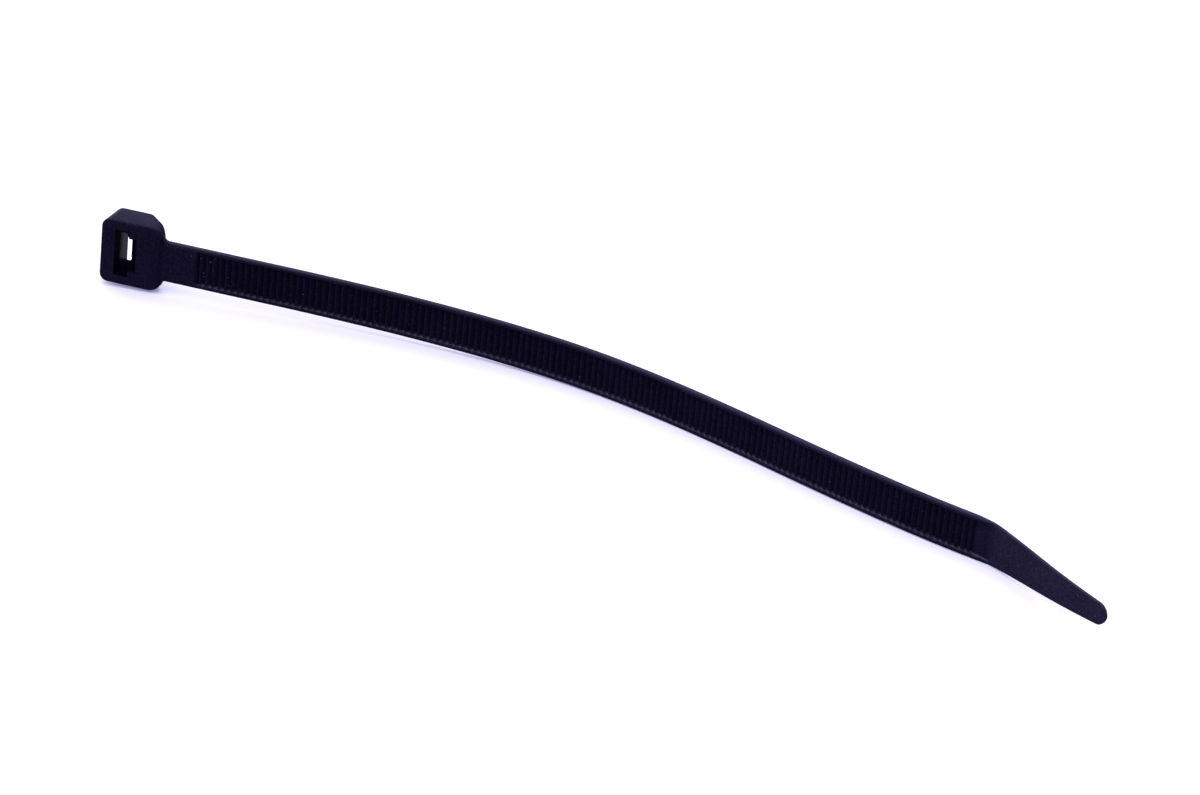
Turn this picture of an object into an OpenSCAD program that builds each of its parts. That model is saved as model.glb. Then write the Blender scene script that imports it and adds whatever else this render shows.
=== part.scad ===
// Self-locking cable tie, moulded in one piece of nylon.
// The head stands on its side and the strap on its long edge, bowed as it has set.
// Millimetres. The origin is the centre of the slot's mouth. +X runs along the strap as it
// leaves the head, +Y runs into the slot from the toothed side, and +Z runs across the strap.

/* [Strap] */
// Width of the strap over its two edges
strap_w = 7.6; // [6.5:0.1:9]
// Thickness of the strap over its two rails
strap_t = 1.15; // [1.05:0.05:1.4]
// Length of the strap from the head to the place where it starts to bend towards its tip
strap_len = 163.4; // [150:0.2:175]
// Width of the raised rail along each edge
rail_w = 0.8; // [0.6:0.05:1.2]
// Radius of the strap's four long edges
edge_r = 0.16; // [0.08:0.02:0.3]
// Radius of the fillet where each edge of the strap meets the head
neck_r = 0.9; // [0.5:0.1:1.6]

/* [Teeth] */
// Distance from one tooth to the next
tooth_pitch = 1.2325; // [1:0.0025:1.5]
// Height of a tooth from its root to its crest
tooth_h = 0.4; // [0.25:0.05:0.45]
// Depth of the tooth crests below the rails
crest_drop = 0.25; // [0.1:0.05:0.35]
// Length of the flat along a tooth's crest
crest_land = 0.18; // [0.05:0.01:0.4]
// Length along the strap that a tooth's steep face takes
steep_run = 0.12; // [0.05:0.01:0.3]
// Plain length of strap between the head and the first tooth
plain_len = 7; // [4:0.1:9]
// Plain length of strap between the last tooth and the crease
tail_len = 3.4; // [2:0.1:6]
// Length over which the plain strap slopes down to the teeth's floor
floor_ramp = 0.6; // [0.3:0.1:1]

/* [Tip] */
// Length of strap over which it bends
bend_len = 7; // [6:0.2:9]
// Length of the tapered tip beyond the crease where the rails end
tip_len = 28; // [20:0.2:40]
// Thickness of the tip
tip_t = 0.6; // [0.55:0.05:0.9]
// Width of the tip just before its round end
tip_end_w = 3.9; // [3:0.1:5]

/* [Head] */
// Width of the head across the strap
head_w = 12.25; // [11.5:0.05:14]
// Depth of the head from its mouth face to its back
head_d = 6.2; // [6:0.1:8]
// Distance from the slot's centre to the head's outer end
head_out = 4.8; // [4:0.1:6]
// Distance from the slot's centre to the low wall that the strap grows from
head_in = 6.95; // [6:0.05:8]
// Height of that low wall above the mouth face's plane
wall_h = 1.8; // [1.6:0.1:3]
// Distance from the slot's centre to the end of the back face on the strap side
back_in = 2.6; // [2:0.05:3.2]
// Draft of the outer end wall over the head's depth
end_draft = 0.3; // [0:0.05:0.6]
// Height of the mouth face above the toothed side of the strap
mouth_proud = 0.4; // [0.2:0.05:0.6]
// Radius of the mouth face's two outer corners
corner_r = 1.6; // [0.8:0.1:2.2]
// Radius of the mouth face's two corners on the strap side
inner_corner_r = 2.1; // [0.8:0.1:2.5]
// Radius of the edges round the mouth face and the outer end
face_r = 0.35; // [0.2:0.05:0.6]
// Radius of the edge between the mouth face and the low wall
lip_r = 0.8; // [0.4:0.1:1]
// Radius of the shoulder between the back face and the sloping wall
shoulder_r = 1.5; // [0.8:0.1:2]

/* [Slot and pawl] */
// Length of the slot's mouth along the strap
mouth_len = 4.2; // [3.8:0.1:4.8]
// Clearance between each edge of the strap and the slot
slot_clear = 0.1; // [0.05:0.01:0.2]
// Clearance over the strap's thickness inside the slot
channel_clear = 0.35; // [0.2:0.05:0.5]
// Length of the mouth that has the slot's full width
wide_len = 2.7; // [2.3:0.1:3]
// Depth of the funnel from the mouth down to the strap's channel
funnel_depth = 2.2; // [1.5:0.1:3]
// Chamfer at the two ends of the wide part of the mouth
end_chamfer = 0.5; // [0.2:0.05:0.7]
// Chamfer at the other edges of the mouth
mouth_chamfer = 0.25; // [0.1:0.05:0.4]
// Draft of the slot's outer wall over the head's depth
slot_draft = 0.12; // [0:0.02:0.2]
// Gap between the pawl's tip and the slot's outer wall
pawl_gap = 1.05; // [0.8:0.05:1.15]
// Depth of the pawl's tip below the mouth face
pawl_depth = 5.8; // [5.2:0.1:5.8]
// Thickness of the pawl at its tip
pawl_tip_t = 1.0; // [0.7:0.05:1.2]
// Gap between each side of the pawl and its window
pawl_side_gap = 0.5; // [0.3:0.05:0.8]
// Gap behind the pawl at the back face, which lets it bend
relief_gap = 0.7; // [0.4:0.05:0.8]
// Depth below the mouth face where the pawl grows out of the head
pawl_root = 2.4; // [2:0.1:3]
// Number of teeth on the pawl
pawl_teeth = 3; // [2:1:3]
// Height of the pawl's teeth
pawl_bite = 0.35; // [0.2:0.05:0.4]
// Recession of the pawl's toothed face from each tooth to the next one towards its root
pawl_lean = 0.55; // [0.3:0.05:0.6]

/* [Hidden] */
nylon = [0.05, 0.045, 0.08];
// Distance between two points of the strap's long curves, and of the bend
facet_step = 3;
bend_step = 1;
// Length of strap sunk in the head
strap_sink = 1;
// Sunk into a neighbour so that two forms join
join = 0.05;
arc_steps = 6;

// Heading of the strap, in degrees towards its toothed side, by the share of its length.
// The heading changes evenly from one entry to the next, so each stretch is an arc.
strap_bow = [
    [0, 0], [0.135, 0], [0.245, 2.4], [0.367, 6.6], [0.459, 11.4], [0.55, 17.8],
    [0.643, 22.1], [0.747, 24.3], [0.832, 23.4], [0.912, 21.8]
];
// Heading where the bend starts and ends, where the tip is half as wide, and at the tip's end
bend_heading = 17.6;
tip_heading = 36.6;
tip_mid_heading = 38.8;
tip_end_heading = 32.5;

// The rails' crests run straight on where the strap's back bends, so they end at a crease
bend_rate = (tip_heading - bend_heading) / bend_len;
crease_s = strap_len + sqrt(2 * (strap_t - tip_t) / (bend_rate * PI / 180));
tip_end_s = crease_s + tip_len;
headings = concat(
    [for (b = strap_bow) [b[0] * strap_len, b[1]]],
    [
        [strap_len, bend_heading],
        [strap_len + bend_len, tip_heading],
        [crease_s + 0.4 * tip_len, tip_mid_heading],
        [tip_end_s, tip_end_heading]
    ]
);

// Line of the strap's mid-thickness where it leaves the head
strap_mid_y = mouth_proud + strap_t / 2;

// Heights above the strap's smooth back
crest_n = strap_t - crest_drop;
root_n = crest_n - tooth_h;
// The floor lies just below the teeth's roots
floor_t = root_n - 0.03;
rail_draft = 0.06;
// Length over which the floor rises again to the tip, at the crease
floor_rise = 0.4;
web_w = strap_w - 2 * rail_w;
slot_w = strap_w + 2 * slot_clear;
slot_out = mouth_len / 2;
wide_in = wide_len - slot_out;
window_w = web_w;
pawl_w = window_w - 2 * pawl_side_gap;
pawl_tip_x = pawl_gap - slot_out + slot_draft * pawl_depth / head_d;
strap_channel = strap_t + channel_clear;

function heading_at(s) = lookup(s, headings);

// End of an arc of length l that starts at p and turns from heading h0 to h1
function arc_end(p, h0, h1, l) =
    abs(h1 - h0) < 0.001
    ? p + l * [cos(h0), -sin(h0)]
    : p + l / ((h1 - h0) * PI / 180) * [sin(h1) - sin(h0), cos(h1) - cos(h0)];

stretch_starts = [
    for (i = 0, p = [head_in, strap_mid_y];
         i < len(headings);
         p = i + 1 < len(headings)
             ? arc_end(p, headings[i][1], headings[i + 1][1], headings[i + 1][0] - headings[i][0])
             : p,
         i = i + 1)
    p
];

function stretch_of(s, i = 0) =
    i >= len(headings) - 2 || s < headings[i + 1][0] ? i : stretch_of(s, i + 1);

// Plan point at distance s from the head and height n above the strap's smooth back
function strap_point(s, n) =
    let (i = stretch_of(s))
    let (h = heading_at(s))
    let (mid = arc_end(stretch_starts[i], heading_at(headings[i][0]), h, s - headings[i][0]))
    mid + (n - strap_t / 2) * [-sin(h), -cos(h)];

// Distances along the strap from a to b, both included, about facet_step apart
function spread(a, b) =
    let (n = max(1, ceil((b - a) / facet_step)))
    [for (i = [0 : n]) a + (b - a) * i / n];

function reverse(list) = [for (i = [len(list) - 1 : -1 : 0]) list[i]];

// A closed outline from corners [x, y, radius], each rounded by an arc
function rounded(corners) = [
    for (i = [0 : len(corners) - 1])
    let (c = corners[i])
    let (a = corners[(i + len(corners) - 1) % len(corners)])
    let (b = corners[(i + 1) % len(corners)])
    let (p = [c.x, c.y])
    let (u = [a.x - c.x, a.y - c.y] / norm([a.x - c.x, a.y - c.y]))
    let (v = [b.x - c.x, b.y - c.y] / norm([b.x - c.x, b.y - c.y]))
    let (half = acos(u * v) / 2)
    let (centre = p + (u + v) / norm(u + v) * c[2] / sin(half))
    let (start = p + u * c[2] / tan(half) - centre)
    let (stop = p + v * c[2] / tan(half) - centre)
    let (a0 = atan2(start.y, start.x))
    let (turn0 = atan2(stop.y, stop.x) - a0)
    let (turn = turn0 > 180 ? turn0 - 360 : turn0 < -180 ? turn0 + 360 : turn0)
    each c[2] == 0
        ? [p]
        : [for (k = [0 : arc_steps]) centre + c[2] * [cos(a0 + turn * k / arc_steps), sin(a0 + turn * k / arc_steps)]]
];

// A closed solid through rings of points, each ring with as many points as the first
module skin(rings) {
    count = len(rings[0]);
    points = [for (ring = rings) each ring];
    last = len(points) - count;
    sides = [
        for (i = [0 : len(rings) - 2])
        for (j = [0 : count - 1])
        let (a = i * count + j)
        let (b = i * count + (j + 1) % count)
        each [[b, a, b + count], [b + count, a, a + count]]
    ];
    first_cap = [for (j = [0 : count - 1]) j];
    last_cap = [for (j = [count - 1 : -1 : 0]) last + j];
    polyhedron(points, concat(sides, [first_cap, last_cap]));
}

// Half the width of the strap at distance s: full, then a straight taper that ends in an arc
tip_end_r = tip_end_w / 2;
tip_arc_s = tip_end_s - tip_end_r;
function half_width(s) =
    s <= crease_s ? strap_w / 2
    : s < tip_arc_s ? strap_w / 2 - (strap_w / 2 - tip_end_r) * (s - crease_s) / (tip_arc_s - crease_s)
    : max(3 * edge_r, sqrt(max(0, tip_end_r * tip_end_r - pow(s - tip_arc_s, 2))));

// Height of the rails and of the floor between them, above the smooth back
function rail_n(s) =
    s <= strap_len ? strap_t
    : max(tip_t, strap_t - bend_rate * PI / 180 * pow(s - strap_len, 2) / 2);
function floor_n(s) = lookup(s, [
    [plain_len - floor_ramp, strap_t],
    [plain_len, floor_t],
    [crease_s - floor_rise, floor_t],
    [crease_s, tip_t]
]);

// Half of the strap's section, from the middle of the back round one edge to the floor
function half_section(s) =
    let (w = half_width(s))
    let (r = edge_r)
    let (bevel = r * (1 - sin(45)))
    let (top = rail_n(s))
    let (inner = min(web_w / 2, w - 2 * r))
    [
        [w - r, 0], [w - bevel, bevel], [w, r],
        [w, top - r], [w - bevel, top - bevel], [w - r, top],
        [inner, top], [inner - rail_draft, floor_n(s)]
    ];

function strap_ring(s) =
    let (half = half_section(s))
    [
        for (q = half) let (p = strap_point(s, q[1])) [p.x, p.y, q[0]],
        for (q = reverse(half)) let (p = strap_point(s, q[1])) [p.x, p.y, -q[0]]
    ];

// The strap without its teeth: rails, floor and tip in one sweep
module strap_blank() {
    stations = concat(
        [-strap_sink],
        spread(0, plain_len - floor_ramp),
        spread(plain_len, strap_len),
        [for (s = [strap_len + bend_step : bend_step : crease_s - 2 * floor_rise]) s],
        [crease_s - floor_rise],
        spread(crease_s, tip_arc_s),
        [for (a = [15 : 15 : 75]) tip_arc_s + tip_end_r * sin(a)],
        [tip_end_s]
    );
    skin([for (s = stations) strap_ring(s)]);
}

// The row of teeth, steep faces towards the head, with its base sunk in the strap's floor
module teeth() {
    first = plain_len;
    count = floor((crease_s - tail_len - first) / tooth_pitch);
    last = first + count * tooth_pitch;
    crests = [
        for (i = [0 : count - 1])
        let (s = first + i * tooth_pitch)
        each [[s, root_n], [s + steep_run, crest_n], [s + steep_run + crest_land, crest_n]]
    ];
    base = [for (s = spread(first, last)) [s, floor_t / 2]];
    linear_extrude(height = web_w + 2 * join, center = true)
        polygon([for (q = concat(crests, [[last, root_n]], reverse(base))) strap_point(q[0], q[1])]);
}

// Fillets in the strap's own plane where its edges run into the head
module neck() {
    half = strap_w / 2;
    x0 = head_in - lip_r;
    x1 = head_in + neck_r;
    curve = [for (a = [0 : 15 : 90]) [x1 - neck_r * sin(a), half + neck_r * (1 - cos(a))]];
    outline = concat(
        [[x1, -half]],
        [for (p = curve) p],
        [[x0, half + neck_r], [x0, -half - neck_r]],
        [for (p = reverse(curve)) [p.x, -p.y]]
    );
    translate([0, mouth_proud + strap_t - edge_r, 0])
        rotate([90, 0, 0])
            linear_extrude(height = strap_t - 2 * edge_r)
                polygon(outline);
}

// Outer form of the head: its three views, each with its own rounded corners
module head_blank() {
    intersection() {
        linear_extrude(height = head_w, center = true)
            polygon(rounded([
                [-head_out, 0, face_r],
                [head_in, 0, lip_r],
                [head_in, wall_h, face_r],
                [back_in, head_d, shoulder_r],
                [-head_out + end_draft, head_d, face_r]
            ]));
        translate([0, head_d, 0])
            rotate([90, 0, 0])
                linear_extrude(height = head_d)
                    polygon(rounded([
                        [-head_out, -head_w / 2, corner_r],
                        [head_in, -head_w / 2, inner_corner_r],
                        [head_in, head_w / 2, inner_corner_r],
                        [-head_out, head_w / 2, corner_r]
                    ]));
        rotate([90, 0, 90])
            linear_extrude(height = 4 * head_out, center = true)
                polygon(rounded([
                    [0, -head_w / 2, face_r],
                    [head_d, -head_w / 2, face_r],
                    [head_d, head_w / 2, face_r],
                    [0, head_w / 2, face_r]
                ]));
    }
}

// A mouth from x0 to x1 that is w wide below its chamfer c at both ends
module flared_mouth(x0, x1, w, c) {
    translate([x0, 0, 0])
        rotate([90, 0, 90])
            linear_extrude(height = x1 - x0)
                polygon([
                    [-join, w / 2 + c + join],
                    [c, w / 2],
                    [c, -w / 2],
                    [-join, -w / 2 - c - join]
                ]);
}

// Everything that is open in the head: the strap's channel, the pawl's window and the relief
module slot_space() {
    channel_in = strap_channel - slot_out;
    back = head_d + join;
    drafted_out = slot_draft - slot_out;
    linear_extrude(height = slot_w, center = true)
        polygon([
            [-slot_out, -join],
            [drafted_out, back],
            [channel_in, back],
            [channel_in, funnel_depth],
            [wide_in, mouth_chamfer],
            [wide_in, -join]
        ]);
    flared_mouth(-slot_out, wide_in, slot_w, end_chamfer);
    // The window flares out behind the pawl's root, and the pocket lets the pawl bend
    window_flare = 0.5;
    pocket_in = pawl_tip_x + pawl_tip_t + relief_gap;
    linear_extrude(height = window_w, center = true)
        polygon([
            [-slot_out, -join],
            [slot_out, -join],
            [slot_out, mouth_chamfer],
            [slot_out + window_flare, pawl_root],
            [pocket_in, back],
            [drafted_out, back]
        ]);
    flared_mouth(-slot_out, slot_out, window_w, mouth_chamfer);
}

// The locking tongue: its root near the mouth, its teeth towards the slot's outer wall
module pawl() {
    toothed = [
        for (i = [0 : pawl_teeth - 1])
        let (y = pawl_depth - i * tooth_pitch)
        let (x = pawl_tip_x + i * pawl_lean)
        each [[x, y], [x + pawl_bite, y - tooth_pitch + steep_run]]
    ];
    // The root is sunk in the head behind the window's flared wall
    root_x = slot_out + 1;
    // Slope of the tip's end face, and the place where the back of the tongue meets the wall
    tip_slope = 0.1;
    back_x = slot_out + 0.2;
    linear_extrude(height = pawl_w, center = true)
        polygon(concat(
            [[pawl_tip_x + pawl_tip_t, pawl_depth + tip_slope]],
            toothed,
            [
                [slot_out, mouth_chamfer],
                [root_x, mouth_chamfer],
                [root_x, pawl_root],
                [back_x, pawl_root]
            ]
        ));
}

module head() {
    difference() {
        head_blank();
        slot_space();
    }
    pawl();
}

module tie() {
    head();
    neck();
    strap_blank();
    teeth();
}

// The tie rests on three points, and the plane through them is turned level. The first is on
// the shoulder at the head's lower end, where the rounded edge of the back face starts.
slope_normal = atan2(head_in - back_in, head_d - wall_h);
shoulder_x = back_in - shoulder_r * tan((90 - slope_normal) / 2);
shoulder_reach = sqrt(shoulder_r * shoulder_r - pow(shoulder_r - face_r, 2));
head_foot = [shoulder_x + shoulder_reach, head_d - face_r, -head_w / 2];
// The other two are where a straight line touches the strap's lower edge: its belly, and a
// place in its bend. The belly falls away most steeply to the bend, and the bend least to it.
function low_point(s) = let (p = strap_point(s, edge_r)) [p.x, p.y, -strap_w / 2];
function descent(a, b) = let (d = low_point(b) - low_point(a)) atan2(-d.y, d.x);
bowed = spread(headings[1][0], strap_len - bend_len);
falls = [for (s = bowed) descent(s, strap_len)];
belly_s = bowed[search(max(falls), falls)[0]];
bent = [for (s = [strap_len : bend_step : crease_s]) s];
turns = [for (s = bent) descent(belly_s, s)];
foot_s = bent[search(min(turns), turns)[0]];
rest_normal = cross(low_point(foot_s) - head_foot, low_point(belly_s) - head_foot);
rest_up = rest_normal / norm(rest_normal);
rest_tilt = acos(rest_up.z);

module cable_tie() {
    color(nylon)
        rotate(a = rest_tilt, v = [rest_up.y, -rest_up.x, 0])
            tie();
}

cable_tie();
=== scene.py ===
"""A black nylon cable tie on a pale floor, its head on its side and its strap on one edge.

The tie is one moulding, so the scene shows it as one closed mesh. Its strap, head, slot and pawl are
surfaces worked out with numpy in the tie's own frame, in millimetres: the origin is the centre of the
slot's mouth, x runs along the strap as it leaves the head, y runs into the slot and z runs across the
strap. They are joined and cut there, then turned to the resting pose and brought to metres.
"""
import math

import bmesh
import bpy
import numpy as np
from mathutils import Matrix, Vector


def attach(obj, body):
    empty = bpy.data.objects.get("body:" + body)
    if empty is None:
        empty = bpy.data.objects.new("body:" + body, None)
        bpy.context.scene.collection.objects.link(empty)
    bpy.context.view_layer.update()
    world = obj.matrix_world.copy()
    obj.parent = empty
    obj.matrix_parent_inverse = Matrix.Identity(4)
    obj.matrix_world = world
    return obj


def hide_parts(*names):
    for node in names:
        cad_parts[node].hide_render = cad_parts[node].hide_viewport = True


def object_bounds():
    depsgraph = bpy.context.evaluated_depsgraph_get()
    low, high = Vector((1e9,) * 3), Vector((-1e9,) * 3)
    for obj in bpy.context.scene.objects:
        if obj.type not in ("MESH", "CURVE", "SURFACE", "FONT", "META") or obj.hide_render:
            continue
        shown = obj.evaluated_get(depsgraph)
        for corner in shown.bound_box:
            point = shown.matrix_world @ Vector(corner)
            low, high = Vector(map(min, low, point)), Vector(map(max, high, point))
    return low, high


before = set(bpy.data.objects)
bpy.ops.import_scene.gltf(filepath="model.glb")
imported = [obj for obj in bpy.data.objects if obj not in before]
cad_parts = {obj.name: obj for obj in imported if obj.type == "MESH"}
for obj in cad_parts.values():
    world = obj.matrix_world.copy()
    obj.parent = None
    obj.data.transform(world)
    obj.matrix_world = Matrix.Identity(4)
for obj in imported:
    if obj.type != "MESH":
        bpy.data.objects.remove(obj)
cad_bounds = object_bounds()
scene = bpy.context.scene
scene.view_settings.view_transform = "Standard"

MM = 0.001

# Driving sizes of the tie, in millimetres

STRAP_W = 7.6
STRAP_T = 1.15
STRAP_LEN = 163.4
RAIL_W = 0.8
RAIL_OUTER_R = 0.16
RAIL_INNER_R = 0.3
BACK_EDGE_R = 0.16
NECK_R = 0.9
STRAP_SINK = 1.0
ROOT_FILLET_R = 0.06
LEAST_LAND = 0.05
# In thin places a rounding takes at most one part in this many of the half width or of the depth
EDGE_PART = 3
ROOT_PART = 4

TOOTH_PITCH = 1.2325
TOOTH_H = 0.4
CREST_DROP = 0.25
CREST_LAND = 0.18
STEEP_RUN = 0.12
TOOTH_SOFTENING = 0.08
SOFTENING_COPIES = 5
PLAIN_LEN = 7.0
TAIL_LEN = 3.4
FLOOR_RAMP = 0.6
FLOOR_RISE = 0.4

BEND_LEN = 7.0
TIP_LEN = 28.0
TIP_T = 0.6
TIP_END_W = 3.9

HEAD_W = 12.25
HEAD_D = 6.2
HEAD_OUT = 4.8
HEAD_IN = 6.95
WALL_H = 1.8
BACK_IN = 2.6
END_DRAFT = 0.3
MOUTH_PROUD = 0.4
OUTER_CORNER_R = 1.6
INNER_CORNER_R = 2.1
FACE_R = 0.35
LIP_R = 0.8
SHOULDER_R = 1.5

MOUTH_LEN = 4.2
SLOT_CLEAR = 0.1
CHANNEL_CLEAR = 0.35
WIDE_LEN = 2.7
FUNNEL_DEPTH = 2.2
END_CHAMFER = 0.5
MOUTH_CHAMFER = 0.25
WINDOW_FLARE = 0.5
SLOT_DRAFT = 0.12
PAWL_GAP = 1.05
PAWL_DEPTH = 5.8
PAWL_TIP_T = 1.0
PAWL_SIDE_GAP = 0.5
RELIEF_GAP = 0.7
PAWL_ROOT = 2.4
PAWL_TEETH = 3
PAWL_BITE = 0.35
PAWL_LEAN = 0.55
PAWL_TIP_SLOPE = 0.1
PAWL_BACK_STEP = 0.2
PAWL_SINK = 1.0
# How far the slot's cut runs on past both faces of the head, and the depth from which a reflection
# is painted on its outer wall
CUT_BEYOND = 0.5
SLOT_GLINT_DEPTH = 2.7

# The tie's upright as it rests on the head's lower back corner, the strap's belly and its bend
REST_UP = Vector((-0.0359548, -0.0877032, 0.995498)).normalized()

# Heading of the strap in degrees towards its toothed side, by the share of its length.
# The heading changes evenly from one entry to the next, so each stretch is an arc.
STRAP_BOW = (
    (0, 0), (0.135, 0), (0.245, 2.4), (0.367, 6.6), (0.459, 11.4), (0.55, 17.8),
    (0.643, 22.1), (0.747, 24.3), (0.832, 23.4), (0.912, 21.8),
)
BEND_HEADING = 17.6
TIP_HEADING = 36.6
TIP_MID_SHARE = 0.4
TIP_MID_HEADING = 38.8
TIP_END_HEADING = 32.5

# Places that follow from those sizes

BEND_RATE = math.radians(TIP_HEADING - BEND_HEADING) / BEND_LEN
CREASE_S = STRAP_LEN + math.sqrt(2 * (STRAP_T - TIP_T) / BEND_RATE)
TIP_END_S = CREASE_S + TIP_LEN
TIP_END_R = TIP_END_W / 2
TIP_ARC_S = TIP_END_S - TIP_END_R
TOOTH_COUNT = math.floor((CREASE_S - TAIL_LEN - PLAIN_LEN) / TOOTH_PITCH)
TEETH_END = PLAIN_LEN + TOOTH_COUNT * TOOTH_PITCH
CREST_N = STRAP_T - CREST_DROP
ROOT_N = CREST_N - TOOTH_H
STRAP_MID_Y = MOUTH_PROUD + STRAP_T / 2
SLOT_OUT = MOUTH_LEN / 2
PAWL_TIP_X = PAWL_GAP - SLOT_OUT + SLOT_DRAFT * PAWL_DEPTH / HEAD_D
WEB_W = STRAP_W - 2 * RAIL_W

# How finely the strap is drawn: points of its plan curve, rings on each stretch and points of arcs

LINE_POINTS = 8001
TOOTH_RINGS = (0.0, 0.05, 0.1, 0.16, 0.22, 0.31, 0.42, 0.75, 1.08, 1.19)
SINK_RINGS = 3
NECK_RINGS = 8
NECK_STEP = 0.6
RAMP_RINGS = 5
RAMP_STOP = 0.04
BEND_RINGS = 14
CREASE_RINGS = 4
TIP_RINGS = 60
END_RING_ANGLES = (6, 84)
END_RINGS = 14
BACK_POINTS = 5
RAIL_POINTS = 6
ROOT_POINTS = 3
# Where the floor has a further row of points, as a share of its half width
GULLY_SHARE = 0.88
# Sections on the head's rounded ends, and the distance below which points are one
HEAD_END_SECTIONS = 15
MERGE_DISTANCE = 1e-4
SHARP_ANGLE = math.radians(28)


# Plan curve of the strap

def heading(s):
    """Heading in radians at distances s: even change between the named stations."""
    stations = [(share * STRAP_LEN, degrees) for share, degrees in STRAP_BOW]
    stations += [
        (STRAP_LEN, BEND_HEADING),
        (STRAP_LEN + BEND_LEN, TIP_HEADING),
        (CREASE_S + TIP_MID_SHARE * TIP_LEN, TIP_MID_HEADING),
        (TIP_END_S, TIP_END_HEADING),
    ]
    places, degrees = np.array(stations, float).T
    return np.radians(np.interp(s, places, degrees))


def strap_line(s):
    """Mid-thickness points (x, y) and toothed-side normals at distances s from the head's wall.

    The line is the running sum of short steps, each along the heading at its middle.
    """
    fine = np.linspace(-STRAP_SINK, TIP_END_S, LINE_POINTS)
    middle = heading((fine[1:] + fine[:-1]) / 2)
    step = np.diff(fine)
    x = np.concatenate([[0], np.cumsum(np.cos(middle) * step)])
    y = np.concatenate([[0], np.cumsum(-np.sin(middle) * step)])
    x += HEAD_IN - np.interp(0, fine, x)
    y += STRAP_MID_Y - np.interp(0, fine, y)
    h = heading(s)
    return np.interp(s, fine, x), np.interp(s, fine, y), -np.sin(h), -np.cos(h)


# Heights above the strap's smooth back, and its half width

def rail_height(s):
    """The rails' crests: flat, then straight on over the bend until they sink into the tip."""
    past = np.maximum(s - STRAP_LEN, 0)
    return np.maximum(TIP_T, STRAP_T - BEND_RATE * past ** 2 / 2)


def tooth_height(s):
    """Saw teeth: a steep rise at each tooth's start, a short land, then an even fall to the root.

    The profile is the mean of copies shifted a little to both sides, which rounds its corners.
    """
    total = 0
    for shift in np.linspace(-0.5, 0.5, SOFTENING_COPIES) * TOOTH_SOFTENING:
        within = np.mod(s + shift - PLAIN_LEN, TOOTH_PITCH)
        corners = (0, STEEP_RUN, STEEP_RUN + CREST_LAND, TOOTH_PITCH)
        total = total + np.interp(within, corners, (0, TOOTH_H, TOOTH_H, 0))
    on_teeth = (s > PLAIN_LEN) & (s < TEETH_END)
    return np.where(on_teeth, total / SOFTENING_COPIES, 0)


def floor_height(s):
    """The floor between the rails: level with them at the neck, toothed, and level with the tip."""
    plain = np.interp(
        s,
        (PLAIN_LEN - FLOOR_RAMP, PLAIN_LEN, CREASE_S - FLOOR_RISE, CREASE_S),
        (STRAP_T, ROOT_N, ROOT_N, TIP_T))
    return plain + tooth_height(s)


def half_width(s):
    """Half the strap's width: a fillet at the head, full, a straight taper and a round end."""
    near = np.clip(s, 0, NECK_R)
    fillet = NECK_R - np.sqrt(NECK_R ** 2 - (NECK_R - near) ** 2)
    taper = (STRAP_W / 2 - TIP_END_R) * np.clip((s - CREASE_S) / (TIP_ARC_S - CREASE_S), 0, 1)
    past = np.clip(s - TIP_ARC_S, 0, TIP_END_R)
    end = TIP_END_R - np.sqrt(TIP_END_R ** 2 - past ** 2)
    return STRAP_W / 2 + fillet - taper - end


def strap_stations():
    """Distances along the strap where it has a ring of points, close where its form is fine."""
    starts = PLAIN_LEN + TOOTH_PITCH * np.arange(TOOTH_COUNT)
    end_angles = np.radians(np.linspace(*END_RING_ANGLES, END_RINGS))
    return np.unique(np.round(np.concatenate([
        np.linspace(-STRAP_SINK, 0, SINK_RINGS),
        np.linspace(0, NECK_R, NECK_RINGS),
        np.arange(NECK_R, PLAIN_LEN - FLOOR_RAMP, NECK_STEP),
        np.linspace(PLAIN_LEN - FLOOR_RAMP, PLAIN_LEN - RAMP_STOP, RAMP_RINGS),
        np.add.outer(starts, TOOTH_RINGS).ravel(),
        np.linspace(TEETH_END, CREASE_S - FLOOR_RISE, BEND_RINGS),
        np.linspace(CREASE_S - FLOOR_RISE, CREASE_S, CREASE_RINGS),
        np.linspace(CREASE_S, TIP_ARC_S, TIP_RINGS),
        TIP_ARC_S + TIP_END_R * np.sin(end_angles),
    ]), 4))


def arc(centre_z, centre_n, radius_z, radius_n, start, stop, count):
    """Points of a quarter arc of the section, from angle start to stop, for every ring."""
    angle = np.radians(np.linspace(start, stop, count))[None, :]
    return centre_z + radius_z * np.cos(angle), centre_n + radius_n * np.sin(angle)


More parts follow.
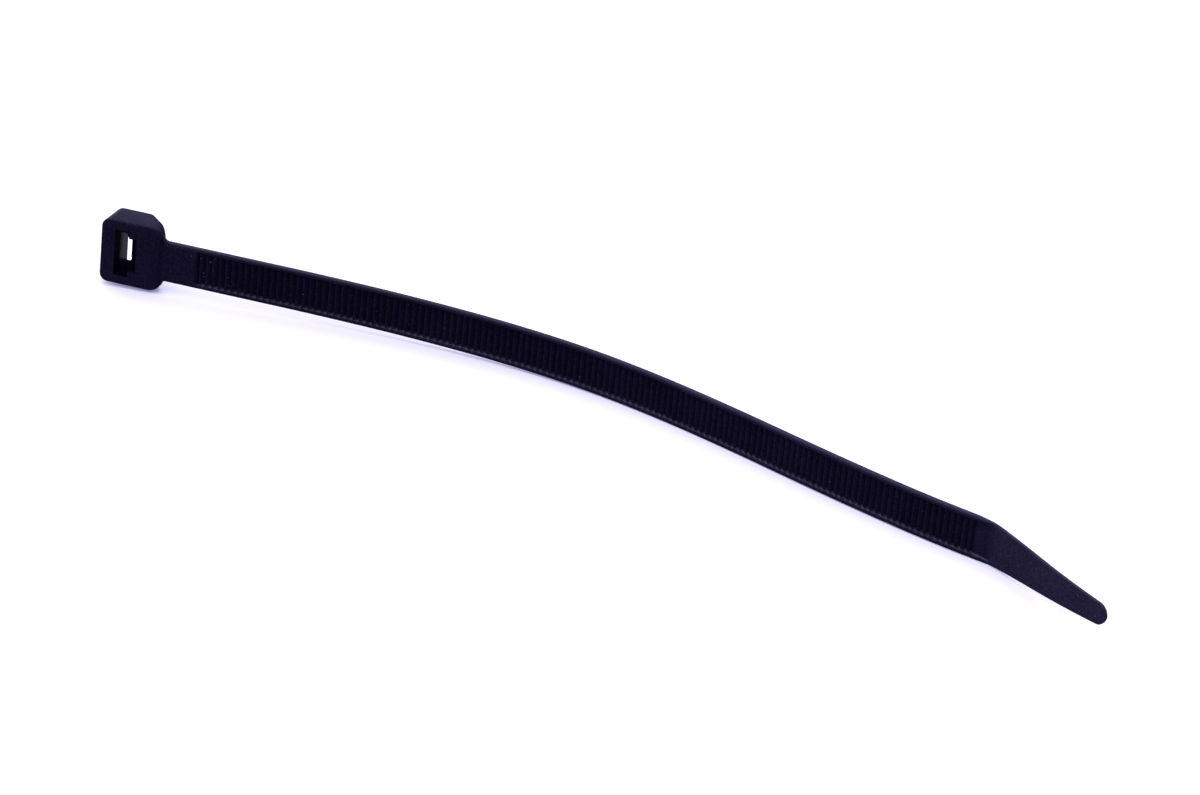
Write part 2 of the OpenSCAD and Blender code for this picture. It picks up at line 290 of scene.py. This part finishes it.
def strap_surface():
    """The strap as a closed section carried along its plan curve: rings by points round the section.

    Half of the section runs from the back's edge round the rail's two rounded corners, down its
    inner wall and along the floor to the middle. The other half is its mirror image.
    """
    s = strap_stations()[:, None]
    w = half_width(s)
    top = rail_height(s)
    floor = np.minimum(floor_height(s), top)
    back_r = np.minimum(BACK_EDGE_R, w / EDGE_PART)
    outer_r = np.minimum(np.minimum(RAIL_OUTER_R, top - BACK_EDGE_R), w / EDGE_PART)
    inner = np.minimum(WEB_W / 2, w - outer_r - LEAST_LAND)
    inner_r = np.minimum(RAIL_INNER_R, top - floor)
    land = np.minimum(inner + inner_r, w - outer_r)
    root_r = np.minimum(ROOT_FILLET_R, (top - floor) / ROOT_PART)
    parts = [
        arc(w - back_r, back_r, back_r, back_r, -90, 0, BACK_POINTS),
        arc(w - outer_r, top - outer_r, outer_r, outer_r, 0, 90, RAIL_POINTS),
        arc(land, top - inner_r, land - inner, inner_r, 90, 180, RAIL_POINTS),
        arc(inner - root_r, floor + root_r, root_r, -root_r, 0, 90, ROOT_POINTS),
    ]
    half_z = np.concatenate([z for z, n in parts], axis=1)
    half_n = np.concatenate([n for z, n in parts], axis=1)
    gully = GULLY_SHARE * inner
    across = np.concatenate([half_z, gully, 0 * s, -gully, -half_z[:, ::-1], 0 * s], axis=1)
    height = np.concatenate([half_n, floor, floor, floor, half_n[:, ::-1], 0 * s], axis=1)
    x, y, nx, ny = strap_line(s)
    out = height - STRAP_T / 2
    return np.stack([x + out * nx, y + out * ny, across], axis=-1)


# The head's outer form, its slot and its pawl

def rounded_corner(corner, before, after, radius, inset, count=9):
    """Arc of a rounded corner for every height, drawn in by inset: rows of (x, y) points.

    The arc's centre lies on the corner's bisector, and the arc turns from the one side's normal
    to the other's. Drawing in moves each point along its own normal.
    """
    u = before - corner
    v = after - corner
    u = u / np.linalg.norm(u, axis=-1, keepdims=True)
    v = v / np.linalg.norm(v, axis=-1, keepdims=True)
    half = np.arccos(np.clip((u * v).sum(-1, keepdims=True), -1, 1)) / 2
    bisector = (u + v) / np.linalg.norm(u + v, axis=-1, keepdims=True)
    centre = corner + bisector * radius / np.sin(half)
    first = corner + u * radius / np.tan(half) - centre
    last = corner + v * radius / np.tan(half) - centre
    start = np.arctan2(first[:, 1], first[:, 0])
    turn = np.mod(np.arctan2(last[:, 1], last[:, 0]) - start + math.pi, 2 * math.pi) - math.pi
    angle = start[:, None] + turn[:, None] * np.linspace(0, 1, count)[None, :]
    reach = radius - inset[:, None]
    return centre[:, None, :] + reach[..., None] * np.stack([np.cos(angle), np.sin(angle)], axis=-1)


def drawn_in(z, half, radius):
    """How far a rounded edge of that radius draws a side in at heights z from the middle."""
    past = np.clip(np.abs(z) - (half - radius), 0, radius)
    return radius - np.sqrt(np.maximum(radius ** 2 - past ** 2, 0))


def head_surface():
    """The head without its slot, as plan sections stacked across the strap.

    Each section is the plan outline with five rounded corners. Near the two ends its outer and
    strap-side walls draw in on the mouth's corner radii, and the whole outline on the edge radius.
    """
    half = HEAD_W / 2
    end_angles = np.radians(np.linspace(0, 90, HEAD_END_SECTIONS))
    ends = half - INNER_CORNER_R + INNER_CORNER_R * np.sin(end_angles)
    z = np.concatenate([-ends[::-1], ends])
    x_out = -HEAD_OUT + drawn_in(z, half, OUTER_CORNER_R)
    x_in = HEAD_IN - drawn_in(z, half, INNER_CORNER_R)
    slope = (HEAD_D - WALL_H) / (HEAD_IN - BACK_IN)
    y_in = WALL_H + (HEAD_IN - x_in) * slope
    level = np.zeros_like(z)
    corners = [
        (np.stack([x_out, level], -1), FACE_R),
        (np.stack([x_in, level], -1), LIP_R),
        (np.stack([x_in, y_in], -1), FACE_R),
        (np.stack([level + BACK_IN, level + HEAD_D], -1), SHOULDER_R),
        (np.stack([x_out + END_DRAFT, level + HEAD_D], -1), FACE_R),
    ]
    inset = drawn_in(z, half, FACE_R)
    rows = [
        rounded_corner(p, corners[i - 1][0], corners[(i + 1) % len(corners)][0], r, inset)
        for i, (p, r) in enumerate(corners)
    ]
    outline = np.concatenate(rows, axis=1)
    height = np.broadcast_to(z[:, None], outline.shape[:2])
    return np.concatenate([outline, height[..., None]], axis=-1)


def slot_surface():
    """The space of the slot and the pawl's window: T-shaped outlines stacked through the depth.

    The mouth is wide next to the outer wall, which leans in by its draft. Its shoulders move out to
    the strap's channel down the funnel, and the window's far wall flares to the pawl's root and then
    closes in on its pocket.
    """
    channel = STRAP_T + CHANNEL_CLEAR - SLOT_OUT
    wide = WIDE_LEN - SLOT_OUT
    pocket = PAWL_TIP_X + PAWL_TIP_T + RELIEF_GAP
    flared = SLOT_OUT + WINDOW_FLARE
    y = np.array([
        -CUT_BEYOND, 0, MOUTH_CHAMFER, END_CHAMFER, FUNNEL_DEPTH, PAWL_ROOT, SLOT_GLINT_DEPTH,
        HEAD_D, HEAD_D + CUT_BEYOND,
    ])
    x_shoulder = np.interp(y, (MOUTH_CHAMFER, FUNNEL_DEPTH), (wide, channel))
    x_far = np.interp(y, (MOUTH_CHAMFER, PAWL_ROOT, HEAD_D), (SLOT_OUT, flared, pocket))
    x_out = np.interp(y, (0, HEAD_D), (-SLOT_OUT, SLOT_DRAFT - SLOT_OUT))
    z_wide = STRAP_W / 2 + SLOT_CLEAR + np.maximum(END_CHAMFER - y, 0)
    z_window = WEB_W / 2 + np.maximum(MOUTH_CHAMFER - y, 0)
    outline = [
        (x_out, z_wide), (x_shoulder, z_wide), (x_shoulder, z_window), (x_far, z_window),
        (x_far, -z_window), (x_shoulder, -z_window), (x_shoulder, -z_wide), (x_out, -z_wide),
    ]
    return np.stack([np.stack([x, y, z], -1) for x, z in outline], axis=1)


def pawl_surface():
    """The locking tongue: its toothed plan outline carried across the strap between its side gaps."""
    root_x = SLOT_OUT + PAWL_SINK
    plan = [(PAWL_TIP_X + PAWL_TIP_T, PAWL_DEPTH + PAWL_TIP_SLOPE)]
    for i in range(PAWL_TEETH):
        x = PAWL_TIP_X + i * PAWL_LEAN
        y = PAWL_DEPTH - i * TOOTH_PITCH
        plan += [(x, y), (x + PAWL_BITE, y - TOOTH_PITCH + STEEP_RUN)]
    plan += [
        (SLOT_OUT, MOUTH_CHAMFER), (root_x, MOUTH_CHAMFER),
        (root_x, PAWL_ROOT), (SLOT_OUT + PAWL_BACK_STEP, PAWL_ROOT),
    ]
    outline = np.array(plan)
    half = WEB_W / 2 - PAWL_SIDE_GAP
    z = np.array([-half, half])
    flat = np.broadcast_to(outline[None], (2, len(plan), 2))
    height = np.broadcast_to(z[:, None, None], (2, len(plan), 1))
    return np.concatenate([flat, height], axis=-1)


# From surfaces to one mesh

def closed_mesh(name, grid):
    """A mesh of rings by points with its first and last ring filled, its faces pointing outwards."""
    rings, count = grid.shape[:2]
    index = np.arange(rings * count).reshape(rings, count)
    a, b = index[:-1], np.roll(index, -1, axis=1)[:-1]
    c, d = np.roll(index, -1, axis=1)[1:], index[1:]
    quads = np.stack([a, b, c, d], axis=-1).reshape(-1, 4)
    faces = quads.tolist() + [index[0, ::-1].tolist(), index[-1].tolist()]
    mesh = bpy.data.meshes.new(name)
    mesh.from_pydata(grid.reshape(-1, 3).tolist(), [], faces)
    piece = bpy.data.objects.new(name, mesh)
    scene.collection.objects.link(piece)
    weld(piece)
    return piece


def weld(piece):
    """Merges points that lie on each other and points the faces outwards."""
    work = bmesh.new()
    work.from_mesh(piece.data)
    bmesh.ops.remove_doubles(work, verts=work.verts, dist=MERGE_DISTANCE)
    bmesh.ops.dissolve_degenerate(work, edges=work.edges, dist=MERGE_DISTANCE)
    bmesh.ops.recalc_face_normals(work, faces=work.faces)
    work.to_mesh(piece.data)
    work.free()


def combine(piece, other, operation):
    """Joins other to piece or cuts it out, and removes it."""
    modifier = piece.modifiers.new(operation.lower(), "BOOLEAN")
    modifier.operation = operation
    modifier.solver = "MANIFOLD"
    modifier.object = other
    bake(piece)
    bpy.data.objects.remove(other)


def bake(piece):
    """Puts the result of the piece's modifiers into its mesh."""
    view = bpy.context.evaluated_depsgraph_get()
    mesh = bpy.data.meshes.new_from_object(piece.evaluated_get(view))
    piece.modifiers.clear()
    piece.data = mesh


# Marks that the nylon's patterns and its painted light and shade follow

# Reach of the light painted in from the strap's upper side, where it falls from above, and the
# scuffed stretch's middle and spread
UPPER_LIGHT_REACH = 0.3
SCUFF_PLACE = 9.0
SCUFF_SPREAD = 4.0
# A highlight is painted in a gully this near to the lower rail, up to this share of a tooth's height,
# and this share of it lies on the rail's up-facing inner wall all along, where light from above falls
GULLY_REACH = 0.1
RAIL_GLINT_DEPTH = 0.7
WALL_GLINT_SHARE = 0.25
# A point this near to a limit counts as on it
CLOSE = 0.025
# Points and rounds of the search for a point's place along the strap
SEARCH_POINTS = 4001
SEARCH_ROUNDS = 4


def strap_places(points):
    """Distance along the strap and height above its back for points (x, y).

    The distance starts where the line has the point's x, and steps on by what is left along it.
    """
    fine = np.linspace(0, TIP_END_S, SEARCH_POINTS)
    s = np.interp(points[:, 0], strap_line(fine)[0], fine)
    for _ in range(SEARCH_ROUNDS):
        x, y, nx, ny = strap_line(s)
        ahead = (y - points[:, 1]) * nx + (points[:, 0] - x) * -ny
        s = np.clip(s + ahead, 0, TIP_END_S)
    x, y, nx, ny = strap_line(s)
    return s, (points[:, 0] - x) * nx + (points[:, 1] - y) * ny + STRAP_T / 2


def write_marks(mesh, domain, marks):
    """Stores each named array of 0 to 1 as an attribute of the mesh's points or faces."""
    for name, values in marks.items():
        attribute = mesh.attributes.new(name, "FLOAT", domain)
        attribute.data.foreach_set("value", values.astype(float))


def mark_strap(mesh):
    """Marks the strap's points.

    One mark grows with the depth below the teeth's crests and carries shade painted into the roots.
    A highlight is painted in the gully between the teeth along the lower rail, most at the roots, and
    on the rail's up-facing inner wall, where light from above falls. Another mark is 1 on the toothed
    side beyond the crease, where the tip is painted paler, partly for its rougher finish and partly
    as painted light. Another is 1 along the strap's upper side, as light painted where it falls from
    above. The scuff mark is a soft hump at the first teeth.
    """
    places = np.empty(len(mesh.vertices) * 3)
    mesh.vertices.foreach_get("co", places)
    places = places.reshape(-1, 3)
    s, height = strap_places(places)
    floor = floor_height(s)
    lower = places[:, 2] < 0
    aside = np.abs(places[:, 2])
    between = aside < WEB_W / 2 - CLOSE
    toothed = (s > PLAIN_LEN - FLOOR_RAMP) & (s < TEETH_END) & (height > ROOT_N - CLOSE)
    # Painted shade, darker the deeper a point lies below the teeth's crests
    recess_shade = np.where(toothed & between, np.clip((CREST_N - height) / TOOTH_H, 0, 1), 0)
    # Painted highlight along the lower rail, where light from above falls on its inner wall
    deep = np.interp(floor, (ROOT_N, ROOT_N + RAIL_GLINT_DEPTH * TOOTH_H), (1, 0))
    gully = lower & between & (aside > WEB_W / 2 - GULLY_REACH) & (s > PLAIN_LEN) & (s < TEETH_END)
    wall = lower & ~between & (height > floor + CLOSE) & (s > PLAIN_LEN) & (s < CREASE_S)
    fade = np.clip(1 - (aside - WEB_W / 2) / RAIL_INNER_R, 0, 1)
    wall_glint = fade * (WALL_GLINT_SHARE + (1 - WALL_GLINT_SHARE) * deep)
    # Light painted along the strap's upper side, where it falls from above
    side = (aside - half_width(s) + UPPER_LIGHT_REACH) / (UPPER_LIGHT_REACH / 2)
    write_marks(mesh, "POINT", {
        "recess_shade": recess_shade,
        "rail_glint": np.where(gully, deep, np.where(wall, wall_glint, 0)),
        "tip": (s > CREASE_S - CLOSE) & (height > TIP_T / 2),
        "upper_light": np.where((s > NECK_R) & ~lower, np.clip(side, 0, 1), 0),
        "scuff": np.where(s > 0, np.exp(-((s - SCUFF_PLACE) / SCUFF_SPREAD) ** 2), 0),
    })


def mark_slot(mesh):
    """Marks the slot's faces: painted shade on all its walls but a painted reflection on the depth of
    its outer wall.
    """
    centres = np.empty(len(mesh.polygons) * 3)
    mesh.polygons.foreach_get("center", centres)
    x, y, z = centres.reshape(-1, 3).T
    inside = (x > -SLOT_OUT - CLOSE) & (x < SLOT_OUT + WINDOW_FLARE + CLOSE)
    inside &= np.abs(z) < HEAD_W / 2 - OUTER_CORNER_R
    inside &= (y > CLOSE) & (y < PAWL_DEPTH - PAWL_TIP_SLOPE)
    # A reflection is painted on the outer wall deep in the slot, in place of the painted shade
    slot_glint = inside & (x < SLOT_DRAFT - SLOT_OUT + CLOSE) & (y > SLOT_GLINT_DEPTH)
    write_marks(mesh, "FACE", {"shade": inside & ~slot_glint, "slot_glint": slot_glint})


def rest_turn():
    """The turn that brings the resting tie's upright to the world's by the shortest way."""
    return REST_UP.rotation_difference(Vector((0, 0, 1))).to_matrix()


# Camera: its turns, its place from the strap's neck in millimetres and its lens

STRAP_YAW = math.radians(15.13)
CAMERA_DOWN = math.radians(25.208)
CAMERA_ROLL = math.radians(6.037)
CAMERA_ACROSS = 80.402
CAMERA_ABOVE = -16.207
CAMERA_AWAY = 819.43
FOCAL_PX = 4582.4
PICTURE_W = 1200
SENSOR_MM = 36.0
CLIP_START = 0.01
CLIP_END = 50.0
# The strap's mid-thickness point at the head, which the camera's place is measured from
NECK = Vector((6.85, STRAP_MID_Y, 0.0))


def add_camera():
    """A camera at the photograph's viewing angle, placed from the strap's start at the head."""
    right = Vector((1, 0, 0))
    ahead = Vector((0, math.cos(CAMERA_DOWN), -math.sin(CAMERA_DOWN)))
    above = Vector((0, math.sin(CAMERA_DOWN), math.cos(CAMERA_DOWN)))
    place = CAMERA_ACROSS * right + CAMERA_ABOVE * above - CAMERA_AWAY * ahead
    c, s = math.cos(CAMERA_ROLL), math.sin(CAMERA_ROLL)
    yaw = Matrix.Rotation(STRAP_YAW, 3, "Z")
    turn = rest_turn()
    axes = [turn @ (yaw @ v) for v in (c * right + s * above, c * above - s * right, -ahead)]
    camera_data = bpy.data.cameras.new("camera")
    camera_data.sensor_width = SENSOR_MM
    camera_data.lens = FOCAL_PX / PICTURE_W * SENSOR_MM
    camera_data.clip_start = CLIP_START
    camera_data.clip_end = CLIP_END
    camera = bpy.data.objects.new("camera", camera_data)
    turned = Matrix(axes).transposed().to_4x4()
    camera.matrix_world = Matrix.Translation(turn @ (yaw @ place + NECK) * MM) @ turned
    scene.collection.objects.link(camera)
    scene.camera = camera


# Arithmetic on shader sockets

class Socket:
    """An output socket of a node tree. Python's operators on it add Math nodes."""

    def __init__(self, tree, output):
        self.tree = tree
        self.output = output

    def math(self, operation, first, second):
        return add_node(self.tree, "ShaderNodeMath", {"operation": operation}, {0: first, 1: second})

    def __add__(self, other):
        return self.math("ADD", self, other)

    def __radd__(self, other):
        return self.math("ADD", other, self)

    def __sub__(self, other):
        return self.math("SUBTRACT", self, other)

    def __rsub__(self, other):
        return self.math("SUBTRACT", other, self)

    def __mul__(self, other):
        return self.math("MULTIPLY", self, other)

    def __rmul__(self, other):
        return self.math("MULTIPLY", other, self)

    def __gt__(self, other):
        return self.math("GREATER_THAN", self, other)

    def over(self, low, high):
        """0 below low, 1 above high and a smooth step between them."""
        settings = {"interpolation_type": "SMOOTHSTEP"}
        values = {"Value": self, "From Min": low, "From Max": high}
        return add_node(self.tree, "ShaderNodeMapRange", settings, values)


def add_node(tree, kind, settings=None, values=None, output=0):
    """A node of that kind: its settings first, then its sockets' values or links."""
    made = tree.nodes.new(kind)
    for name, setting in (settings or {}).items():
        setattr(made, name, setting)
    for name, value in (values or {}).items():
        if isinstance(value, Socket):
            tree.links.new(value.output, made.inputs[name])
        else:
            made.inputs[name].default_value = value
    return Socket(tree, made.outputs[output]) if made.outputs else None


def tree_of(owner):
    """The owner's node tree, emptied."""
    owner.use_nodes = True
    owner.node_tree.nodes.clear()
    return owner.node_tree


def mix_colours(tree, share, first, second):
    """The first colour where share is 0 and the second where it is 1."""
    return add_node(
        tree, "ShaderNodeMix", {"data_type": "RGBA"},
        {"Factor": share, "A": first, "B": second}, "Result")


def noise(tree, place, scale, detail, roughness):
    """Soft noise from 0 to 1 with that many features to the metre."""
    return add_node(
        tree, "ShaderNodeTexNoise", {},
        {"Vector": place, "Scale": scale, "Detail": detail, "Roughness": roughness})


def dots(tree, place, scale):
    """Distance to the nearest of many strewn points, about scale of them to the metre each way."""
    return add_node(
        tree, "ShaderNodeTexVoronoi", {"feature": "F1"},
        {"Vector": place, "Scale": scale, "Randomness": 1})


def own_value(tree, name):
    """The piece's own attribute of that name."""
    return add_node(tree, "ShaderNodeAttribute", {"attribute_name": name}, {}, "Fac")


# The nylon

NYLON_DARK = (0.0062, 0.0047, 0.0205, 1)
NYLON_LIGHT = (0.0215, 0.018, 0.0575, 1)
# Paler tone painted on the strap's upper side as painted light, and on the tip partly as painted
# light
NYLON_LIT = (0.062, 0.056, 0.12, 1)
NYLON_SHEEN = (0.45, 0.35, 1, 1)
# Painted shade for the teeth's roots and the inside of the slot
NYLON_SHADE = (0.0015, 0.001, 0.006, 1)
# Painted reflection on the slot's outer wall near its exit
NYLON_SLOT_GLINT = (0.02, 0.02, 0.075, 1)
NYLON_GLOSS = 0.014
# Painted highlight on the lower rail's up-facing inner wall and at the roots beside it
NYLON_RAIL_GLINT = (0.12, 0.112, 0.17, 1)
SPECK = (0.11, 0.1, 0.16, 1)

# Noises: features to the metre, levels of finer detail and how strong the finer ones are
MOTTLE = (2400, 3, 0.65)
CLOUD = (90, 2, 0.5)
GRAIN = (5200, 2, 0.5)
# The mottles' part of the light and dark patches, the rest being clouds, and where patches begin
MOTTLE_PART = 0.75
PATCH_EDGE = (0.3, 0.7)

# Specks and scuffs to the metre, and the shares of their spacing between which each fades out
SPECK_SCALE = 520
SPECK_EDGE = (0.04, 0.07)
SCUFF_SCALE = 1000
SCUFF_EDGE = (0.08, 0.19)

# How far each mark turns the nylon to its colour. A pair gives it for the darkest patches and what
# the lightest ones add, and so does the roughness.
# How far the tip is painted paler, partly for its rougher finish and partly as painted light
TIP_LIGHT_SHARE = (0.09, 0.15)
# How far the painted highlight along the lower rail goes
RAIL_GLINT_SHARE = (0.35, 0.55)
# How far light is painted along the strap's upper side
UPPER_LIGHT_SHARE = 0.3
# How far painted shade darkens the teeth's roots, and then the inside of the slot
RECESS_SHADE_SHARE = 0.85
SLOT_SHADE_SHARE = 0.97
ROUGHNESS = (0.14, 0.12)
SLOT_ROUGHNESS = 0.5

# Relief of the surface in metres, its strength, and the parts that grain and mottles have in it
BUMP_DEPTH = 0.00003
BUMP_STRENGTH = 0.25
BUMP_GRAIN = 0.7
BUMP_MOTTLE = 0.9


def nylon_material():
    """Dark moulded nylon: soft mottles from the mould, a fine matt grain and a few pale specks.

    Shade is painted into the teeth's roots and the slot, highlights are painted on the lower rail's
    inner wall, the strap's upper side and the slot's outer wall, and the tip is painted paler, partly
    as painted light.
    """
    material = bpy.data.materials.new("nylon")
    tree = tree_of(material)
    place = add_node(tree, "ShaderNodeTexCoord", output="Object")
    mottle = noise(tree, place, *MOTTLE)
    cloud = noise(tree, place, *CLOUD)
    grain = noise(tree, place, *GRAIN)
    shade = mottle.over(*PATCH_EDGE) * MOTTLE_PART + cloud.over(*PATCH_EDGE) * (1 - MOTTLE_PART)
    # The slot's mark, for painted shade on its walls and for their roughness
    slot_shade = own_value(tree, "shade")
    speck = 1 - dots(tree, place, SPECK_SCALE).over(*SPECK_EDGE)
    scuff = own_value(tree, "scuff") * (1 - dots(tree, place, SCUFF_SCALE).over(*SCUFF_EDGE))
    # The tip painted paler, partly for its rougher finish and partly as painted light
    tip = own_value(tree, "tip") * (TIP_LIGHT_SHARE[0] + TIP_LIGHT_SHARE[1] * shade)
    # Painted highlight along the lower rail's inner wall
    rail_glint = own_value(tree, "rail_glint") * (RAIL_GLINT_SHARE[0] + RAIL_GLINT_SHARE[1] * shade)
    # Painted shade in the teeth's roots and inside the slot
    painted_shade = RECESS_SHADE_SHARE * own_value(tree, "recess_shade") + SLOT_SHADE_SHARE * slot_shade
    colour = mix_colours(tree, shade, NYLON_DARK, NYLON_LIGHT)
    colour = mix_colours(tree, tip, colour, NYLON_LIT)
    # Light painted along the strap's upper side, where it falls from above
    colour = mix_colours(tree, UPPER_LIGHT_SHARE * own_value(tree, "upper_light"), colour, NYLON_LIT)
    colour = mix_colours(tree, speck, colour, SPECK)
    # The painted shade goes on here
    colour = mix_colours(tree, painted_shade, colour, NYLON_SHADE)
    # Painted reflection on the slot's outer wall
    colour = mix_colours(tree, own_value(tree, "slot_glint"), colour, NYLON_SLOT_GLINT)
    # The lower rail's painted highlight goes on here
    colour = mix_colours(tree, rail_glint, colour, NYLON_RAIL_GLINT)
    colour = mix_colours(tree, scuff, colour, SPECK)
    relief = grain * BUMP_GRAIN + mottle * BUMP_MOTTLE
    bump = add_node(
        tree, "ShaderNodeBump", {},
        {"Strength": BUMP_STRENGTH, "Distance": BUMP_DEPTH, "Height": relief})
    surface = add_node(
        tree, "ShaderNodeBsdfPrincipled", {},
        {
            "Base Color": colour,
            "Roughness": ROUGHNESS[0] + ROUGHNESS[1] * shade + SLOT_ROUGHNESS * slot_shade,
            "Specular IOR Level": NYLON_GLOSS,
            "Specular Tint": NYLON_SHEEN,
            "Normal": bump,
        })
    add_node(tree, "ShaderNodeOutputMaterial", {}, {"Surface": surface})
    return material


# Floor and light

FLOOR_HALF = 6.0
FLOOR_COLOUR = (0.94, 0.93, 0.96, 1)
FLOOR_BOUNCE = (0.12, 0.12, 0.12, 1)
FLOOR_LIFT = 0.34
SHADOW_TINT = (0.5, 0.46, 1, 1)


def seen_directly(tree):
    """1 for rays from the camera, a reflection or through something clear, and 0 for the rest."""
    path = "ShaderNodeLightPath"
    camera = add_node(tree, path, output="Is Camera Ray")
    glossy = add_node(tree, path, output="Is Glossy Ray")
    clear = add_node(tree, path, output="Is Transmission Ray")
    return (camera + glossy + clear) > 0.5


def floor_material():
    """Pale paint that shows white where it is lit and keeps the shadow of what stands on it."""
    material = bpy.data.materials.new("floor")
    tree = tree_of(material)
    seen = seen_directly(tree)
    paint = add_node(
        tree, "ShaderNodeBsdfDiffuse", {},
        {"Color": mix_colours(tree, seen, FLOOR_BOUNCE, FLOOR_COLOUR)})
    lift = add_node(
        tree, "ShaderNodeEmission", {},
        {"Color": SHADOW_TINT, "Strength": seen * FLOOR_LIFT})
    surface = add_node(tree, "ShaderNodeAddShader", {}, {0: paint, 1: lift})
    add_node(tree, "ShaderNodeOutputMaterial", {}, {"Surface": surface})
    return material


def add_floor():
    """The floor, a square at the tie's lowest point."""
    low = cad_bounds[0][2]
    corners = np.array([(-1, -1), (1, -1), (1, 1), (-1, 1)]) * FLOOR_HALF
    mesh = bpy.data.meshes.new("floor")
    mesh.from_pydata([(x, y, low) for x, y in corners], [], [(0, 1, 2, 3)])
    mesh.materials.append(floor_material())
    floor = bpy.data.objects.new("floor", mesh)
    scene.collection.objects.link(floor)


# Strengths of the studio's even light, its overhead softbox, its pale back wall and its side box
FILL = 0.04
OVERHEAD = 2.2
BACK_WALL = 0.95
SIDE_BOX = 2.6

# Where the wall and the box begin and are full, by the ray's share of that direction
WALL_BACK = (0.1, 0.9)
WALL_UP = (0.0, 0.15)
BOX_LEFT = (0.45, 0.85)
BOX_UP = (0.0, 0.2)
BOX_TOP = (0.35, 0.6)


def add_studio():
    """Soft light from all round, brightest overhead, with a back wall and a box at one side."""
    world = bpy.data.worlds.new("studio")
    scene.world = world
    tree = tree_of(world)
    direction = {"Vector": add_node(tree, "ShaderNodeTexCoord", output="Generated")}
    across, behind, up = (
        add_node(tree, "ShaderNodeSeparateXYZ", {}, direction, axis) for axis in "XYZ")
    lifted = up.math("MAXIMUM", up, 0)
    overhead = OVERHEAD * lifted * lifted * lifted
    wall = BACK_WALL * behind.over(*WALL_BACK) * up.over(*WALL_UP)
    box = SIDE_BOX * (0 - across).over(*BOX_LEFT) * up.over(*BOX_UP) * (1 - up.over(*BOX_TOP))
    light = FILL + overhead + wall + box
    camera = add_node(tree, "ShaderNodeLightPath", output="Is Camera Ray")
    strength = camera + (1 - camera) * light
    background = add_node(
        tree, "ShaderNodeBackground", {}, {"Color": (1, 1, 1, 1), "Strength": strength})
    add_node(tree, "ShaderNodeOutputWorld", {}, {"Surface": background})


# The scene

tie = closed_mesh("cable_tie_moulding", head_surface())
combine(tie, closed_mesh("slot", slot_surface()), "DIFFERENCE")
combine(tie, closed_mesh("pawl", pawl_surface()), "UNION")
combine(tie, closed_mesh("strap", strap_surface()), "UNION")
mark_strap(tie.data)
mark_slot(tie.data)
tie.data.transform((Matrix.Scale(MM, 3) @ rest_turn()).to_4x4())
tie.data.shade_smooth()
tie.data.set_sharp_from_angle(angle=SHARP_ANGLE)
tie.data.materials.clear()
tie.data.materials.append(nylon_material())
add_camera()
add_floor()
add_studio()

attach(tie, "root")
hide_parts("cable_tie")
